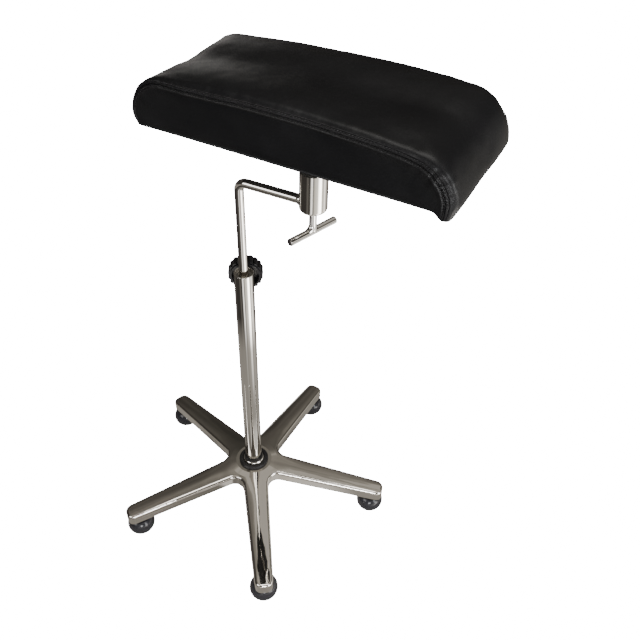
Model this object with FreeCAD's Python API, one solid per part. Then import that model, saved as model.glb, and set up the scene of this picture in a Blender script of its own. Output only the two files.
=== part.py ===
import FreeCAD, Part
import math
import os

from FreeCAD import Vector

# Height-adjustable arm rest stand, in millimetres and degrees.
# The origin is where the mast's axis meets the floor. +Z is up, and the pad's length lies along X.

# Clearances that all pieces share
running_gap = 0.08
seat_gap = 0.05
face_gap = 0.1
ball_gap = 0.3
overrun = 4.0

# Star base: one casting with five arms and a hollow underside
arm_count = 5
foot_circle_radius = 230.0
arm_nose_reach = 23.0
arm_root_half_width = 24.0
arm_end_half_width = 16.0
arm_root_radius = 40.0
arm_nose_flat = 3.0
crotch_radius = 19.0
hub_rise = 27.5
hub_margin = 6.5
arm_depth = 20.0
star_wall = 4.0
star_edge_radius = 5.4
hub_boss_wall = 8.5
hub_boss_depth = 36.0
mast_socket_depth = 28.0
socket_radius = 10.0
socket_depth = 14.5
first_arm_angle = 90.0

# Glides: squashed balls under the arm ends, on steel stems
glide_radius = 25.0
glide_centre_height = 20.0
glide_flat_radius = 9.0
glide_shoulder_rise = 16.0
glide_neck_radius = 8.5
glide_neck_length = 8.0
glide_stem_radius = 5.0
glide_stem_bottom = 12.0
glide_stem_cover = 4.5
glide_stem_ring_width = 1.5
glide_stem_ring_height = 3.0

# Trim rings round the foot of the mast
collar_width = 12.0
collar_height = 5.0
collar_edge = 2.2
collar_recess_width = 5.2
collar_recess_depth = 2.6
dome_ring_width = 3.8
dome_ring_height = 7.0
dome_ring_skirt = 2.0
seal_ring_width = 1.8
seal_ring_height = 2.4

# Mast: a chromed tube on a foot insert, bolted from below
mast_radius = 15.5
mast_wall = 1.5
mast_length = 480.0
mast_rim_round = 0.5
foot_insert_length = 35.0
mast_bolt_radius = 6.0
mast_bolt_length = 42.0
mast_bolt_head_flats = 19.0
mast_bolt_head_height = 7.5
mast_washer_width = 8.0
mast_washer_height = 2.5

# Head of the mast: a recessed plug that guides the rod
plug_recess = 4.0
plug_length = 44.0
plug_chamfer = 1.5

# Height knob behind the mast, with its threaded boss, stud and shoe
knob_turn = 120.0
knob_drop = 30.0
knob_thread_radius = 4.0
knob_boss_wall = 4.0
knob_boss_length = 9.5
shoe_length = 6.0
knob_standoff = 13.5
knob_radius = 28.0
knob_rim_step = 3.6
knob_rim_width = 5.0
knob_depth = 22.0
knob_lobe_count = 18
knob_lobe_depth = 3.0
knob_far_round = 5.0
knob_hub_radius = 8.0
knob_hollow_wall = 6.4
knob_hollow_depth = 11.0
knob_groove_radius = 14.5
knob_groove_width = 1.6
knob_stud_depth = 15.0

# Arm: a rod that slides and turns in the mast, bent square at the top
rod_radius = 7.0
rod_inside_length = 306.0
rod_rise = 157.6
rod_bend_radius = 12.5
arm_length = 115.0
arm_turn = 2.4
neck_step = 1.0
bush_length = 17.5
rod_socket_depth = 2.5
rod_end_screw_radius = 3.0
rod_end_screw_length = 16.0
rod_end_head_radius = 5.5
rod_end_head_height = 4.5
rod_end_washer_margin = 2.5
rod_end_washer_height = 2.0

# Cup at the end of the arm, which holds the ball, and its T clamp below
boss_drop = 11.2
boss_edge_round = 6.0
boss_floor = 12.0
boss_wall = 5.5
boss_bore_margin = 3.0
weld_width = 1.6
weld_length = 3.5
ring_cover = 9.0
ring_skirt_depth = 5.0
ring_edge = 2.0
ring_mouth_share = 0.86
ball_rise = 4.0
ball_radius = 11.0
seat_floor = 6.0
pressure_plug_height = 10.0
plug_room = 12.9
clamp_screw_radius = 5.5
clamp_bar_radius = 5.5
clamp_bar_drop = 33.7
clamp_bar_length = 86.0
clamp_bar_chamfer = 1.4
clamp_bar_turn = 72.0
stud_neck_radius = 4.0
stud_neck_length = 26.3
stud_shoulder_radius = 9.0
stud_shoulder_length = 26.3
stud_thread_radius = 5.0
stud_nut_flats = 17.0
stud_nut_height = 6.0
stud_washer_radius = 11.0
stud_washer_height = 2.0

# Pad: plywood and foam in a sewn cover, rounded down over both ends
pad_length = 434.0
pad_width = 184.0
pad_offset = 4.0
pad_ridge_height = 76.5
pad_valley_depth = 6.0
pad_shoulder_drop = 0.5
pad_edge_radius = 10.5
pad_crown_rise = 7.45
pad_end_lift = 0.25
pad_end_tuck = 5.0
pad_side_draw = 4.0
cover_thickness = 1.6
cloth_thickness = 0.8
board_thickness = 12.0
trough_half_width_share = 0.36
ridge_place_share = 0.66
trough_rise_share = 0.72
plate_thickness = 5.0
plate_length = 100.0
plate_width = 70.0
plate_corner_radius = 8.0
plate_screw_inset = 10.0
plate_screw_radius = 3.0
plate_screw_head_radius = 5.5
plate_screw_head_height = 3.3
plate_screw_length = 14.0
nut_recess_radius = 14.0

# Radii and reaches that follow from the sizes above
arm_pitch = 360.0 / arm_count
arm_reach = foot_circle_radius + arm_nose_reach
arm_nose_radius = arm_end_half_width - arm_nose_flat
collar_radius = mast_radius + collar_width
collar_recess_radius = mast_radius + collar_recess_width
dome_ring_radius = mast_radius + dome_ring_width
seal_ring_radius = mast_radius + seal_ring_width
hub_flat_radius = collar_radius + hub_margin
hub_boss_radius = mast_radius + hub_boss_wall
glide_stem_ring_radius = glide_stem_radius + glide_stem_ring_width
mast_inner_radius = mast_radius - mast_wall
mast_washer_radius = mast_bolt_radius + mast_washer_width
knob_boss_radius = knob_thread_radius + knob_boss_wall
knob_boss_reach = mast_radius + knob_boss_length
knob_near = mast_radius + knob_standoff
knob_hollow_radius = knob_radius - knob_hollow_wall
shoe_reach = rod_radius + shoe_length
neck_radius = rod_radius - neck_step
rod_end_washer_radius = mast_inner_radius - rod_end_washer_margin
weld_radius = rod_radius + weld_width
boss_bore_radius = ball_radius + boss_bore_margin
boss_radius = boss_bore_radius + boss_wall

# Heights, from the floor up
glide_shoulder_height = glide_centre_height + glide_shoulder_rise
socket_bottom = glide_shoulder_height + glide_neck_length
arm_end_height = socket_bottom + socket_depth
glide_stem_top = arm_end_height - glide_stem_cover
hub_top_height = arm_end_height + hub_rise
hub_boss_bottom = hub_top_height - hub_boss_depth
hub_floor_height = hub_top_height - mast_socket_depth
mast_top_height = hub_floor_height + mast_length
plug_top_height = mast_top_height - plug_recess
plug_bottom_height = plug_top_height - plug_length
knob_height = mast_top_height - knob_drop
rod_bottom_height = mast_top_height - rod_inside_length
rod_axis_height = mast_top_height + rod_rise
boss_bottom_height = rod_axis_height - boss_drop
boss_floor_top = boss_bottom_height + boss_floor
seat_cup_bottom = boss_floor_top + plug_room + pressure_plug_height + face_gap
ball_centre_height = seat_cup_bottom + seat_floor + ball_radius
boss_top_height = ball_centre_height - ball_rise
ring_top_height = ball_centre_height + ring_cover
clamp_bar_height = boss_bottom_height - clamp_bar_drop
stud_shoulder_bottom = ball_centre_height + stud_neck_length
plate_bottom_height = stud_shoulder_bottom + stud_shoulder_length
pad_bottom_height = plate_bottom_height + plate_thickness
board_bottom_height = pad_bottom_height + cloth_thickness
board_top_height = board_bottom_height + board_thickness

# The pad's outline seen from the side: a gentle crown between two end rounds
pad_end_height = board_top_height + pad_end_lift
pad_top_height = pad_bottom_height + pad_ridge_height
pad_seam_height = pad_ridge_height - pad_shoulder_drop - pad_edge_radius
pad_end_radius = pad_top_height - pad_crown_rise - pad_end_height
pad_end_centre = pad_length / 2 - pad_end_radius
pad_crown_reach = (pad_end_centre ** 2 + pad_crown_rise ** 2) / (pad_crown_rise + pad_crown_rise)
pad_crown_angle = math.degrees(math.asin(pad_end_centre / pad_crown_reach))
pad_crown_centre = pad_top_height - pad_end_radius - pad_crown_reach
pad_section_foot = pad_top_height - pad_end_radius

origin = Vector(0, 0, 0)
x_axis = Vector(1, 0, 0)
y_axis = Vector(0, 1, 0)
z_axis = Vector(0, 0, 1)


def save(shape, node):
    # One solid to one file, named after its piece.
    shape = shape.removeSplitter()
    solid = shape.Solids[0]
    if len(shape.Solids) != 1 or not solid.isValid():
        raise ValueError(node + " is not one valid solid")
    solid.exportStep("parts/" + node + ".step")
    print(node, "volume", round(solid.Volume), "box", solid.BoundBox)


def turned(shape, angle, centre=origin, axis=z_axis):
    copy = shape.copy()
    copy.rotate(centre, axis, angle)
    return copy


def moved(shape, offset):
    copy = shape.copy()
    copy.translate(offset)
    return copy


def upright(radius, bottom, top, x=0, y=0):
    return Part.makeCylinder(radius, top - bottom, Vector(x, y, bottom), z_axis)


def level(radius, start, finish, height):
    # A cylinder along +X at the given height.
    return Part.makeCylinder(radius, finish - start, Vector(start, 0, height), x_axis)


def spun(edges):
    # A solid of revolution about Z from edges in the XZ plane.
    return Part.Face(Part.Wire(edges)).revolve(origin, z_axis, 360)


def lines(points):
    # Straight edges through the points, in order.
    return [Part.LineSegment(start, finish).toShape() for start, finish in zip(points, points[1:])]


def polygon(points):
    return Part.Wire(lines(points + [points[0]]))


def section_points(pairs):
    # Pairs of radius and height as points in the XZ plane.
    return [Vector(radius, 0, height) for radius, height in pairs]


def spun_polygon(pairs):
    points = section_points(pairs)
    return spun(lines(points + [points[0]]))


def prism(wire, height):
    return Part.Face(wire).extrude(Vector(0, 0, height))


def hexagon(flats, bottom, height):
    corner_radius = flats / 2 / math.cos(math.radians(30))
    corners = [
        Vector(corner_radius * math.cos(angle), corner_radius * math.sin(angle), bottom)
        for angle in [math.radians(60 * index) for index in range(6)]
    ]
    return prism(polygon(corners), height)


def rounded_outline(corners, radii):
    # A closed wire through the corners, each one rounded by its own radius.
    arcs = []
    for index, corner in enumerate(corners):
        to_last = (corners[index - 1] - corner).normalize()
        to_next = (corners[(index + 1) % len(corners)] - corner).normalize()
        half_angle = to_last.getAngle(to_next) / 2
        reach = radii[index] / math.tan(half_angle)
        depth = radii[index] / math.sin(half_angle) - radii[index]
        middle = corner + (to_last + to_next).normalize() * depth
        arcs.append((corner + to_last * reach, middle, corner + to_next * reach))
    edges = []
    for index, (start, middle, finish) in enumerate(arcs):
        edges.append(Part.Arc(start, middle, finish).toShape())
        edges.append(Part.LineSegment(finish, arcs[(index + 1) % len(arcs)][0]).toShape())
    return Part.Wire(edges)


def foot_places():
    # The middles of the glides on the floor, one per arm.
    angles = [math.radians(first_arm_angle + arm_pitch * index) for index in range(arm_count)]
    return [
        (foot_circle_radius * math.cos(angle), foot_circle_radius * math.sin(angle))
        for angle in angles
    ]


# Star base

def arm_height(radius):
    # Height of the arm's top face at a distance from the mast's axis.
    slope = (hub_top_height - arm_end_height) / (arm_reach - hub_flat_radius)
    return hub_top_height - slope * (radius - hub_flat_radius)


def star_outline(inset):
    # The star seen from above: five tapered arms with rounded noses and crotches.
    taper = (arm_root_half_width - arm_end_half_width) / (arm_reach - arm_root_radius)
    reach = arm_reach - inset
    half_width = arm_end_half_width - inset
    half_pitch = math.radians(arm_pitch / 2)
    crotch_along = (half_width + reach * taper) / (math.tan(half_pitch) + taper)
    crotch_distance = crotch_along / math.cos(half_pitch)
    corners = []
    radii = []
    for index in range(arm_count):
        angle = math.radians(first_arm_angle + arm_pitch * index)
        along = Vector(math.cos(angle), math.sin(angle), 0)
        across = Vector(-math.sin(angle), math.cos(angle), 0)
        crotch = Vector(math.cos(angle + half_pitch), math.sin(angle + half_pitch), 0)
        corners.append(along * reach - across * half_width)
        corners.append(along * reach + across * half_width)
        corners.append(crotch * crotch_distance)
        radii.extend([arm_nose_radius - inset, arm_nose_radius - inset, crotch_radius + inset])
    return rounded_outline(corners, radii)


def star_slab(top_offset, bottom_offset):
    # The space between two surfaces that follow the arms' slope.
    far_radius = arm_reach + overrun
    return spun_polygon([
        (0, hub_top_height + bottom_offset),
        (hub_flat_radius, hub_top_height + bottom_offset),
        (far_radius, arm_height(far_radius) + bottom_offset),
        (far_radius, arm_height(far_radius) + top_offset),
        (hub_flat_radius, hub_top_height + top_offset),
        (0, hub_top_height + top_offset),
    ])


def star_prism(inset):
    return prism(star_outline(inset), hub_top_height + overrun)


def top_outline_edges(shape):
    # The edges between the arms' top face and their sides.
    chosen = []
    for edge in shape.Edges:
        first, last = edge.ParameterRange
        points = [edge.valueAt(value) for value in (first, (first + last) / 2, last)]
        radii = [math.hypot(point.x, point.y) for point in points]
        rises = [abs(point.z - arm_height(radius)) for point, radius in zip(points, radii)]
        on_top = max(rises) < face_gap
        if on_top and max(radii) > hub_flat_radius + overrun:
            chosen.append(edge)
    return chosen


def make_star_base():
    skin = star_prism(0).common(star_slab(0, -arm_depth))
    skin = skin.makeFillet(star_edge_radius, top_outline_edges(skin))
    hollow = star_prism(star_wall).common(star_slab(-star_wall, -arm_depth - overrun))
    star = skin.cut(hollow)
    star = star.fuse(upright(hub_boss_radius, hub_boss_bottom, hub_top_height - star_wall / 2))
    roof = arm_height(foot_circle_radius) - star_wall / 2
    for x, y in foot_places():
        star = star.fuse(upright(socket_radius, socket_bottom, roof, x, y))
    star = star.cut(upright(mast_radius + seat_gap, hub_floor_height, hub_top_height + overrun))
    star = star.cut(upright(mast_bolt_radius + seat_gap, hub_boss_bottom - overrun, hub_top_height))
    stem_hole_radius = glide_stem_radius + seat_gap
    for x, y in foot_places():
        star = star.cut(upright(stem_hole_radius, socket_bottom - overrun, glide_stem_top, x, y))
    return star


# Glides

def make_glide(x, y):
    # A ball with a flat foot: its side is one arc through the foot, the waist and the shoulder.
    lean = glide_radius - glide_flat_radius
    round_radius = (lean ** 2 + glide_centre_height ** 2) / (2 * lean)
    round_centre = glide_radius - round_radius
    shoulder_rise = glide_shoulder_height - glide_centre_height
    shoulder_radius = round_centre + math.sqrt(round_radius ** 2 - shoulder_rise ** 2)
    foot, waist, shoulder = section_points([
        (glide_flat_radius, 0),
        (glide_radius, glide_centre_height),
        (shoulder_radius, glide_shoulder_height),
    ])
    rest = section_points([
        (shoulder_radius, glide_shoulder_height),
        (glide_neck_radius, glide_shoulder_height),
        (glide_neck_radius, socket_bottom - face_gap),
        (0, socket_bottom - face_gap),
        (0, 0),
        (glide_flat_radius, 0),
    ])
    ball = spun([Part.Arc(foot, waist, shoulder).toShape()] + lines(rest))
    hole = make_glide_stem(0, 0, seat_gap)
    return moved(ball.cut(hole), Vector(x, y, 0))


def make_glide_stem(x, y, grow=0):
    # A steel pin with a ring that keeps the ball on it.
    pin = upright(glide_stem_radius + grow, glide_stem_bottom - grow, glide_stem_top - face_gap + grow)
    ring_middle = (glide_stem_bottom + glide_shoulder_height) / 2
    ring = upright(
        glide_stem_ring_radius + grow,
        ring_middle - glide_stem_ring_height / 2 - grow,
        ring_middle + glide_stem_ring_height / 2 + grow,
    )
    return moved(pin.fuse(ring), Vector(x, y, 0))


# Trim rings and mast

def make_hub_collar():
    bore = mast_radius + seat_gap
    top = hub_top_height + collar_height
    return spun_polygon([
        (bore, hub_top_height),
        (collar_radius, hub_top_height),
        (collar_radius, top - collar_edge),
        (collar_radius - collar_edge, top),
        (collar_recess_radius, top),
        (collar_recess_radius, top - collar_recess_depth),
        (bore, top - collar_recess_depth),
    ])


def dome_ring_bottom():
    return hub_top_height + collar_height - collar_recess_depth


def make_hub_dome_ring():
    bore = mast_radius + seat_gap
    bottom = dome_ring_bottom()
    skirt = bottom + dome_ring_skirt
    top = bottom + dome_ring_height
    rise = dome_ring_height - dome_ring_skirt
    run = dome_ring_radius - bore
    half_way = math.radians(45)
    skirt_point, middle, crest = section_points([
        (dome_ring_radius, skirt),
        (bore + run * math.cos(half_way), skirt + rise * math.sin(half_way)),
        (bore, top),
    ])
    rest = section_points([
        (bore, top),
        (bore, bottom),
        (dome_ring_radius, bottom),
        (dome_ring_radius, skirt),
    ])
    return spun([Part.Arc(skirt_point, middle, crest).toShape()] + lines(rest))


def make_hub_seal_ring():
    # It rests on the domed ring, so the domed ring's shape is cut out of it.
    bore = mast_radius + seat_gap
    crest = dome_ring_bottom() + dome_ring_height
    ring = upright(seal_ring_radius, crest - seal_ring_height, crest + seal_ring_height / 2)
    ring = ring.cut(upright(bore, dome_ring_bottom(), crest + overrun))
    return ring.cut(make_hub_dome_ring())


def knob_cross_hole(radius):
    return turned(level(radius, 0, knob_near, knob_height), knob_turn)


def make_mast_tube():
    tube = upright(mast_radius, hub_floor_height, mast_top_height)
    tube = tube.cut(upright(mast_inner_radius, hub_floor_height - overrun, mast_top_height + overrun))
    rims = [
        edge for edge in tube.Edges
        if edge.Closed and abs(edge.BoundBox.ZMin - mast_top_height) < seat_gap
    ]
    tube = tube.makeFillet(mast_rim_round, rims)
    return tube.cut(knob_cross_hole(knob_thread_radius + running_gap))


def make_mast_foot_insert():
    top = hub_floor_height + foot_insert_length
    insert = upright(mast_inner_radius - seat_gap, hub_floor_height, top)
    tip = hub_boss_bottom - mast_washer_height + mast_bolt_length
    return insert.cut(upright(mast_bolt_radius + seat_gap, hub_floor_height - overrun, tip + seat_gap))


def make_mast_washer():
    bottom = hub_boss_bottom - mast_washer_height
    washer = upright(mast_washer_radius, bottom, hub_boss_bottom)
    hole = upright(mast_bolt_radius + seat_gap, bottom - overrun, hub_boss_bottom + overrun)
    return washer.cut(hole)


def make_mast_bolt():
    seat = hub_boss_bottom - mast_washer_height
    head = hexagon(mast_bolt_head_flats, seat - mast_bolt_head_height, mast_bolt_head_height)
    return head.fuse(upright(mast_bolt_radius, seat - mast_bolt_head_height / 2, seat + mast_bolt_length))


def make_mast_head_plug():
    plug = upright(mast_inner_radius - seat_gap, plug_bottom_height, plug_top_height)
    bore = rod_radius + running_gap
    plug = plug.cut(upright(bore, plug_bottom_height - overrun, plug_top_height + overrun))
    mouth_bottom = Vector(0, 0, plug_top_height - plug_chamfer)
    plug = plug.cut(Part.makeCone(bore, bore + plug_chamfer, plug_chamfer, mouth_bottom))
    return plug.cut(knob_cross_hole(knob_thread_radius + running_gap))


# Height knob

def make_knob_boss():
    boss = level(knob_boss_radius, 0, knob_boss_reach, knob_height)
    boss = boss.cut(upright(mast_radius, plug_bottom_height, plug_top_height))
    boss = boss.cut(level(knob_thread_radius + running_gap, 0, knob_near, knob_height))
    return turned(boss, knob_turn)


def make_clamp_shoe():
    # Its inner end is hollowed to the rod's shape.
    shoe = level(knob_thread_radius, 0, shoe_reach, knob_height)
    shoe = shoe.cut(upright(rod_radius + running_gap, plug_bottom_height, plug_top_height))
    return turned(shoe, knob_turn)


def make_knob_stud():
    start = shoe_reach + face_gap
    finish = knob_near + knob_stud_depth
    return turned(level(knob_thread_radius, start, finish, knob_height), knob_turn)


def lobed_outline(centre_x):
    # Rounded lobes all round, in the plane square to the knob's axis.
    step = 2 * math.pi / knob_lobe_count
    valley_radius = knob_radius - knob_lobe_depth

    def rim_point(radius, angle):
        return Vector(centre_x, radius * math.cos(angle), knob_height + radius * math.sin(angle))

    edges = []
    for index in range(knob_lobe_count):
        start = rim_point(valley_radius, step * index)
        crest = rim_point(knob_radius, step * index + step / 2)
        finish = rim_point(valley_radius, step * index + step)
        edges.append(Part.Arc(start, crest, finish).toShape())
    return Part.Wire(edges)


def make_knob_body():
    # A narrower smooth rim on the near side, lobes behind it, and a hollow near face round a hub.
    far = knob_near + knob_depth
    rim = level(knob_radius - knob_rim_step, knob_near, knob_near + knob_rim_width, knob_height)
    lobes = Part.Face(lobed_outline(knob_near + knob_rim_width / 2)).extrude(
        Vector(knob_depth - knob_rim_width / 2, 0, 0)
    )
    body = rim.fuse(lobes)
    dome = level(knob_radius + overrun, knob_near, far, knob_height)
    far_edge = [edge for edge in dome.Edges if edge.Closed and abs(edge.BoundBox.XMin - far) < seat_gap]
    dome = dome.makeFillet(knob_far_round + overrun, far_edge)
    body = body.common(dome)
    hollow = level(knob_hollow_radius, knob_near - overrun, knob_near + knob_hollow_depth, knob_height)
    body = body.cut(hollow.cut(level(knob_hub_radius, knob_near - overrun, far, knob_height)))
    groove_floor = knob_near + knob_hollow_depth + knob_groove_width
    groove = level(knob_groove_radius, knob_near + knob_hollow_depth / 2, groove_floor, knob_height)
    groove = groove.cut(level(knob_groove_radius - knob_groove_width, knob_near, far, knob_height))
    body = body.cut(groove)
    socket_floor = knob_near + knob_stud_depth + seat_gap
    socket = level(knob_thread_radius + seat_gap, knob_near - overrun, socket_floor, knob_height)
    return turned(body.cut(socket), knob_turn)


# Arm

def on_arm(shape):
    # From the mast's axis out to the end of the arm, which is turned a little in the mast.
    return turned(moved(shape, Vector(arm_length, 0, 0)), arm_turn)


def on_stud(shape):
    # From the mast's axis to the ball stud's, still square to the part's axes.
    angle = math.radians(arm_turn)
    return moved(shape, Vector(arm_length * math.cos(angle), arm_length * math.sin(angle), 0))


def make_arm_rod():
    bend_bottom = rod_axis_height - rod_bend_radius
    neck_top = rod_bottom_height + bush_length + face_gap
    stem = upright(rod_radius, neck_top, bend_bottom)
    neck = upright(neck_radius, rod_bottom_height, neck_top)
    bend_centre = Vector(rod_bend_radius, 0, bend_bottom)
    ring = Part.Face(Part.Wire([Part.makeCircle(rod_radius, Vector(0, 0, bend_bottom), z_axis)]))
    bend = ring.revolve(bend_centre, y_axis, 90)
    arm = level(rod_radius, rod_bend_radius, arm_length - boss_radius + rod_socket_depth, rod_axis_height)
    rod = stem.fuse([neck, bend, arm])
    hole = upright(rod_end_screw_radius + seat_gap, rod_bottom_height - overrun, rod_end_hole_top())
    return turned(rod.cut(hole), arm_turn)


def rod_end_hole_top():
    return rod_bottom_height + rod_end_screw_length


def make_guide_bush():
    top = rod_bottom_height + bush_length
    bush = upright(mast_inner_radius - running_gap, rod_bottom_height + face_gap, top)
    return bush.cut(upright(neck_radius + running_gap, rod_bottom_height, top + overrun))


def make_rod_end_washer():
    bottom = rod_bottom_height - rod_end_washer_height
    washer = upright(rod_end_washer_radius, bottom, rod_bottom_height)
    hole = upright(rod_end_screw_radius + seat_gap, bottom - overrun, rod_bottom_height + overrun)
    return washer.cut(hole)


def make_rod_end_screw():
    seat = rod_bottom_height - rod_end_washer_height
    tip = rod_end_hole_top() - face_gap
    head = upright(rod_end_head_radius, seat - rod_end_head_height, seat)
    return head.fuse(upright(rod_end_screw_radius, seat - rod_end_head_height / 2, tip))


def make_head_boss():
    cup = upright(boss_radius, boss_bottom_height, boss_top_height)
    low_edge = [
        edge for edge in cup.Edges
        if edge.Closed and abs(edge.BoundBox.ZMax - boss_bottom_height) < seat_gap
    ]
    cup = cup.makeFillet(boss_edge_round, low_edge)
    rod_entry = Vector(-boss_radius, 0, rod_axis_height)
    weld = Part.makeCone(weld_radius, rod_radius + seat_gap, weld_length, rod_entry, -x_axis)
    weld_root = Part.makeCylinder(weld_radius, boss_floor / 2, rod_entry, x_axis)
    cup = cup.fuse([weld, weld_root])
    cup = cup.cut(upright(boss_bore_radius, boss_floor_top, boss_top_height + overrun))
    cup = cup.cut(upright(clamp_screw_radius + running_gap, boss_bottom_height - overrun, boss_top_height))
    socket_start = -boss_radius - weld_length - overrun
    socket_end = -boss_radius + rod_socket_depth
    cup = cup.cut(level(rod_radius + seat_gap, socket_start, socket_end, rod_axis_height))
    return on_arm(cup)


def ball_space(gap):
    return Part.makeSphere(ball_radius + gap, Vector(0, 0, ball_centre_height))


def make_head_ring():
    # A cap on the cup, hollowed to the ball, with a flared mouth for the stud to tilt in.
    skirt_radius = boss_bore_radius - seat_gap
    ring = spun_polygon([
        (0, boss_top_height - ring_skirt_depth),
        (skirt_radius, boss_top_height - ring_skirt_depth),
        (skirt_radius, boss_top_height),
        (boss_radius, boss_top_height),
        (boss_radius, ring_top_height - ring_edge),
        (boss_radius - ring_edge, ring_top_height),
        (0, ring_top_height),
    ])
    space = ball_space(ball_gap)
    mouth_radius = ball_radius * ring_mouth_share
    mouth_height = ball_centre_height + math.sqrt(ball_radius ** 2 - mouth_radius ** 2)
    mouth_rise = ring_top_height - mouth_height
    flare_radius = mouth_radius + mouth_rise / 2
    mouth = Part.makeCone(mouth_radius, flare_radius, mouth_rise, Vector(0, 0, mouth_height))
    below = upright(ball_radius + ball_gap, boss_top_height - ring_skirt_depth, ball_centre_height)
    return on_arm(ring.cut([space, mouth, below]))


def make_seat_cup():
    # A nylon cup under the ball. It stops short of the ring's skirt.
    top = boss_top_height - ring_skirt_depth - face_gap
    cup = upright(boss_bore_radius - running_gap, seat_cup_bottom, top)
    return on_arm(cup.cut(ball_space(ball_gap)))


def make_pressure_plug():
    top = seat_cup_bottom - face_gap
    plug = upright(boss_bore_radius - running_gap, top - pressure_plug_height, top)
    return on_arm(plug)


def make_clamp_screw():
    # Its foot is hollowed to the bar it is welded to.
    tip = seat_cup_bottom - pressure_plug_height - face_gap - face_gap
    screw = upright(clamp_screw_radius, clamp_bar_height, tip)
    return on_stud(screw.cut(centred_clamp_bar()))


def centred_clamp_bar():
    half = clamp_bar_length / 2
    bar = level(clamp_bar_radius, -half, half, clamp_bar_height)
    ends = [edge for edge in bar.Edges if edge.Closed]
    return turned(bar.makeChamfer(clamp_bar_chamfer, ends), clamp_bar_turn)


def make_clamp_bar():
    return on_stud(centred_clamp_bar())


# Ball stud and plate

def stud_top_height():
    return pad_bottom_height + stud_washer_height + stud_nut_height


def make_ball_stud():
    shoulder_top = plate_bottom_height - face_gap
    cone_top = stud_shoulder_bottom + stud_shoulder_radius - stud_neck_radius
    stud = spun_polygon([
        (0, ball_centre_height),
        (stud_neck_radius, ball_centre_height),
        (stud_neck_radius, stud_shoulder_bottom),
        (stud_shoulder_radius, cone_top),
        (stud_shoulder_radius, shoulder_top),
        (stud_thread_radius, shoulder_top),
        (stud_thread_radius, stud_top_height()),
        (0, stud_top_height()),
    ])
    return on_stud(stud.fuse(ball_space(0)))


def make_stud_washer():
    bottom = pad_bottom_height + face_gap
    washer = upright(stud_washer_radius, bottom, bottom + stud_washer_height)
    hole = upright(stud_thread_radius + seat_gap, bottom - overrun, bottom + overrun)
    return on_stud(washer.cut(hole))


def make_stud_nut():
    bottom = pad_bottom_height + face_gap + stud_washer_height
    nut = hexagon(stud_nut_flats, bottom, stud_nut_height)
    hole = upright(stud_thread_radius + seat_gap, bottom - overrun, bottom + stud_nut_height + overrun)
    return on_stud(nut.cut(hole))


def plate_screw_places():
    along = plate_length / 2 - plate_screw_inset
    across = plate_width / 2 - plate_screw_inset
    return [(x, y) for x in (-along, along) for y in (-across, across)]


def make_pad_plate():
    half_length = plate_length / 2
    half_width = plate_width / 2
    corners = [
        Vector(-half_length, -half_width, plate_bottom_height),
        Vector(half_length, -half_width, plate_bottom_height),
        Vector(half_length, half_width, plate_bottom_height),
        Vector(-half_length, half_width, plate_bottom_height),
    ]
    plate = prism(rounded_outline(corners, [plate_corner_radius] * len(corners)), plate_thickness)
    low = plate_bottom_height - overrun
    stud_hole = upright(stud_thread_radius + running_gap, low, pad_bottom_height + overrun)
    return on_stud(plate.cut([stud_hole] + plate_screw_holes()))


def plate_screw_holes():
    low = plate_bottom_height - overrun
    high = plate_bottom_height + plate_screw_length
    return [upright(plate_screw_radius + seat_gap, low, high, x, y) for x, y in plate_screw_places()]


def make_plate_screw(x, y):
    low = plate_bottom_height - plate_screw_head_height
    head = upright(plate_screw_head_radius, low, plate_bottom_height, x, y)
    tip = plate_bottom_height + plate_screw_length - face_gap
    shank = upright(plate_screw_radius, low + plate_screw_head_height / 2, tip, x, y)
    return on_stud(head.fuse(shank))


# Pad

def cross_curve(inset):
    # The top of the cross-section, from seam to seam: two edge rounds, two ridges and one trough.
    half = pad_width / 2 - inset
    seam = pad_bottom_height + pad_seam_height
    edge_round = pad_edge_radius - inset
    ridge = pad_top_height - inset
    valley = ridge - pad_valley_depth
    shoulder_y = half - edge_round
    ridge_y = half * ridge_place_share
    trough_y = half * trough_half_width_share
    trough_z = valley + pad_valley_depth * trough_rise_share
    corner = edge_round * math.sin(math.radians(45))
    right = [
        ((half, seam), (shoulder_y + corner, seam + corner), (shoulder_y, seam + edge_round)),
        ((shoulder_y, seam + edge_round), (ridge_y, ridge), (trough_y, trough_z)),
    ]
    middle = ((trough_y, trough_z), (0, valley), (-trough_y, trough_z))
    left = [tuple((-y, z) for y, z in reversed(arc)) for arc in reversed(right)]
    return [Part.Arc(*[Vector(0, y, z) for y, z in arc]).toShape() for arc in right + [middle] + left]


def filled_section():
    # All that lies inside the cover, above the foot of the end rounds.
    half = pad_width / 2 - cover_thickness
    foot = half - pad_side_draw
    seam = pad_bottom_height + pad_seam_height
    sides = lines([
        Vector(0, -half, seam),
        Vector(0, -foot, pad_section_foot),
        Vector(0, foot, pad_section_foot),
        Vector(0, half, seam),
    ])
    return Part.Face(Part.Wire(cross_curve(cover_thickness) + sides))


def top_strip_section():
    # The cover's top panel, from seam to seam.
    half = pad_width / 2
    seam = pad_bottom_height + pad_seam_height
    edges = cross_curve(0) + cross_curve(cover_thickness)
    for side in (-1, 1):
        edges += lines([Vector(0, side * half, seam), Vector(0, side * (half - cover_thickness), seam)])
    return Part.Face(Part.Wire(Part.__sortEdges__(edges)))


def side_strip_section(side):
    # A side panel, from the foot of the end rounds up to the seam.
    half = pad_width / 2
    foot = half - pad_side_draw
    seam = pad_bottom_height + pad_seam_height
    return Part.Face(polygon([
        Vector(0, side * foot, pad_section_foot),
        Vector(0, side * half, seam),
        Vector(0, side * (half - cover_thickness), seam),
        Vector(0, side * (foot - cover_thickness), pad_section_foot),
    ]))


def crowned_span(section):
    # The section swept along the pad's gentle crown, between the end rounds.
    centre = Vector(0, 0, pad_crown_centre)
    start = turned(section, -pad_crown_angle, centre, y_axis)
    return start.revolve(centre, y_axis, pad_crown_angle + pad_crown_angle)


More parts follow.
